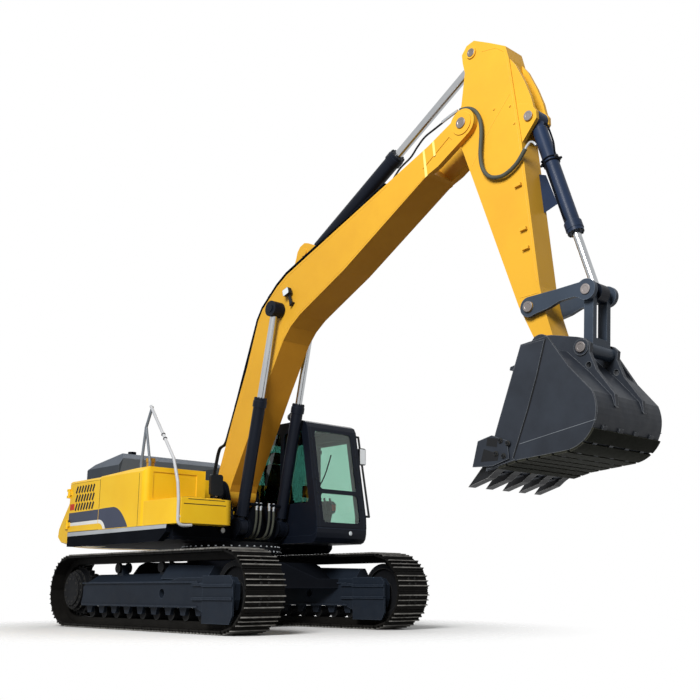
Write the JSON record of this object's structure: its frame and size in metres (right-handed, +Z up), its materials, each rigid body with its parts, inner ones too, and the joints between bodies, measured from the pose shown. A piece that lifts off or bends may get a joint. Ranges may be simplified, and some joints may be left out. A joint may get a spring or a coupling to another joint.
{
  "type": "tracked excavator",
  "caption": "Tracked excavator: slewing upper body with cab, engine housing and counterweight, and a boom, arm and toothed bucket moved by hydraulic cylinders.",
  "frame": {"origin": "on the ground, below the middle of the parked machine's length and width", "axes": "+X forward along the tracks, +Y to the left, +Z up"},
  "size_m": [10.22, 3.205, 7.248],
  "materials": {
    "yellow_paint": "gloss",
    "slate_paint": "satin",
    "hood_paint": "satin",
    "track_steel": "worn",
    "chrome": "polished",
    "cast_steel": "rough",
    "dark_steel": "satin",
    "rail_paint": "satin",
    "glass": "tinted",
    "seat_cloth": "woven",
    "black_plastic": "matte"
  },
  "bodies": {
    "undercarriage": {"car_body": "slate_paint", "slew_ring": "slate_paint", "track_frame_left": "slate_paint", "track_frame_right": "slate_paint", "track_left": "track_steel", "track_right": "track_steel", "idlers": "track_steel", "sprockets": "track_steel", "final_drives": "slate_paint", "track_rollers": "track_steel", "carrier_rollers": "track_steel"},
    "upper": {"revolving_frame": "slate_paint", "counterweight": "yellow_paint", "engine_block": "cast_steel", "engine_cowl": "yellow_paint", "tank_housing": "yellow_paint", "filler_cap": "yellow_paint", "step_box": "yellow_paint", "handrails": "rail_paint", "right_mirror": "black_plastic", "work_lamps": "black_plastic", "cab_floor_pan": "slate_paint", "cab_front": "slate_paint", "cab_roof": "slate_paint", "cab_rear_wall": "slate_paint", "cab_right_side": "slate_paint", "cab_left_side": "slate_paint", "cab_glass": "glass", "cab_seat": "seat_cloth", "cab_controls": "black_plastic", "cab_grab_rail": "rail_paint"},
    "cab_door": {"cab_door": "slate_paint", "cab_door_glass": "glass"},
    "pump_door": {"pump_door": "yellow_paint"},
    "cooler_door": {"cooler_door": "yellow_paint"},
    "battery_door": {"battery_door": "yellow_paint"},
    "engine_hood": {"engine_hood": "hood_paint", "exhaust": "dark_steel"},
    "boom": {"boom": "yellow_paint", "boom_pipes": "dark_steel", "boom_lamp": "black_plastic"},
    "boom_cylinder_tubes": {"boom_cylinder_tubes": "slate_paint"},
    "boom_cylinder_rods": {"boom_cylinder_rods": "chrome"},
    "arm_cylinder_tube": {"arm_cylinder_tube": "slate_paint"},
    "arm_cylinder_rod": {"arm_cylinder_rod": "chrome"},
    "arm": {"arm": "yellow_paint"},
    "bucket_cylinder_tube": {"bucket_cylinder_tube": "slate_paint"},
    "bucket_cylinder_rod": {"bucket_cylinder_rod": "chrome"},
    "rocker": {"rocker_links": "slate_paint"},
    "h_link": {"h_link": "slate_paint"},
    "bucket": {"bucket": "slate_paint", "bucket_teeth": "cast_steel", "side_cutters": "slate_paint"}
  },
  "joints": [
    {"name": "slew", "type": "hinge", "parent": "undercarriage", "child": "upper", "pos_m": [-1.6665, 0, 0], "axis": [0, 0, 1], "continuous": true},
    {"name": "boom_lift", "type": "hinge", "parent": "upper", "child": "boom", "pos_m": [-1.5965, 0, 1.918], "axis": [0, -1, 0], "range_deg": [-80, 17]},
    {"name": "arm_swing", "type": "hinge", "parent": "boom", "child": "arm", "pos_m": [3.19745, 0, 6.14295], "axis": [0, 1, 0], "range_deg": [-85, 35]},
    {"name": "bucket_curl", "type": "hinge", "parent": "arm", "child": "bucket", "pos_m": [4.23993, 0, 3.09637], "axis": [0, 1, 0], "range_deg": [-74, 104]},
    {"name": "boom_cylinder_swing", "type": "hinge", "parent": "upper", "child": "boom_cylinder_tubes", "pos_m": [-0.9865, 0, 1.406], "axis": [0, -1, 0], "range_deg": [-82.28, 17.88]},
    {"name": "boom_rod_slide", "type": "slide", "parent": "boom_cylinder_tubes", "child": "boom_cylinder_rods", "axis": [0.2214, 0, 0.9752], "range_m": [-0.9827, 0.2104]},
    {"name": "arm_cylinder_swing", "type": "hinge", "parent": "boom", "child": "arm_cylinder_tube", "pos_m": [0.14509, 0, 5.26567], "axis": [0, 1, 0], "range_deg": [-5.96, 2.75]},
    {"name": "arm_rod_slide", "type": "slide", "parent": "arm_cylinder_tube", "child": "arm_cylinder_rod", "axis": [0.8677, 0, 0.4971], "range_m": [-1.2113, 0.5]},
    {"name": "rocker_swing", "type": "hinge", "parent": "arm", "child": "rocker", "pos_m": [4.05988, 0, 3.58859], "axis": [0, 1, 0], "range_deg": [-38.98, 54.58]},
    {"name": "link_swing", "type": "hinge", "parent": "bucket", "child": "h_link", "pos_m": [4.74708, 0, 2.98876], "axis": [0, 1, 0], "range_deg": [-63.94, 45.64]},
    {"name": "bucket_cylinder_swing", "type": "hinge", "parent": "arm", "child": "bucket_cylinder_tube", "pos_m": [4.12991, 0, 5.91981], "axis": [0, 1, 0], "range_deg": [-4.26, 5.79]},
    {"name": "bucket_rod_slide", "type": "slide", "parent": "bucket_cylinder_tube", "child": "bucket_cylinder_rod", "axis": [0.2798, 0, -0.96], "range_m": [-0.4413, 0.6194]},
    {"name": "cab_door_swing", "type": "hinge", "parent": "upper", "child": "cab_door", "pos_m": [-1.3665, 1.46, 0], "axis": [0, 0, 1], "range_deg": [0, 90]},
    {"name": "pump_door_swing", "type": "hinge", "parent": "upper", "child": "pump_door", "pos_m": [-3.9165, -1.515, 0], "axis": [0, 0, -1], "range_deg": [0, 100]},
    {"name": "cooler_door_swing", "type": "hinge", "parent": "upper", "child": "cooler_door", "pos_m": [-3.9165, 1.515, 0], "axis": [0, 0, 1], "range_deg": [0, 100]},
    {"name": "battery_door_swing", "type": "hinge", "parent": "upper", "child": "battery_door", "pos_m": [-2.3065, 1.515, 0], "axis": [0, 0, -1], "range_deg": [0, 100]},
    {"name": "hood_lift", "type": "hinge", "parent": "upper", "child": "engine_hood", "pos_m": [-4.2905, 0, 2.209], "axis": [0, -1, 0], "range_deg": [0, 60]}
  ],
  "couplings": [
    {"joint": "boom_cylinder_swing", "follows": "boom_lift", "ratio": 1.0222},
    {"joint": "boom_rod_slide", "follows": "boom_lift", "m_per_rad": 0.70234},
    {"joint": "arm_cylinder_swing", "follows": "arm_swing", "ratio": 0.064247},
    {"joint": "arm_rod_slide", "follows": "arm_swing", "m_per_rad": 0.81517},
    {"joint": "rocker_swing", "follows": "bucket_curl", "ratio": 0.52},
    {"joint": "link_swing", "follows": "bucket_curl", "ratio": -0.61},
    {"joint": "bucket_cylinder_swing", "follows": "bucket_curl", "ratio": 0.050833},
    {"joint": "bucket_rod_slide", "follows": "bucket_curl", "m_per_rad": 0.34012}
  ]
}
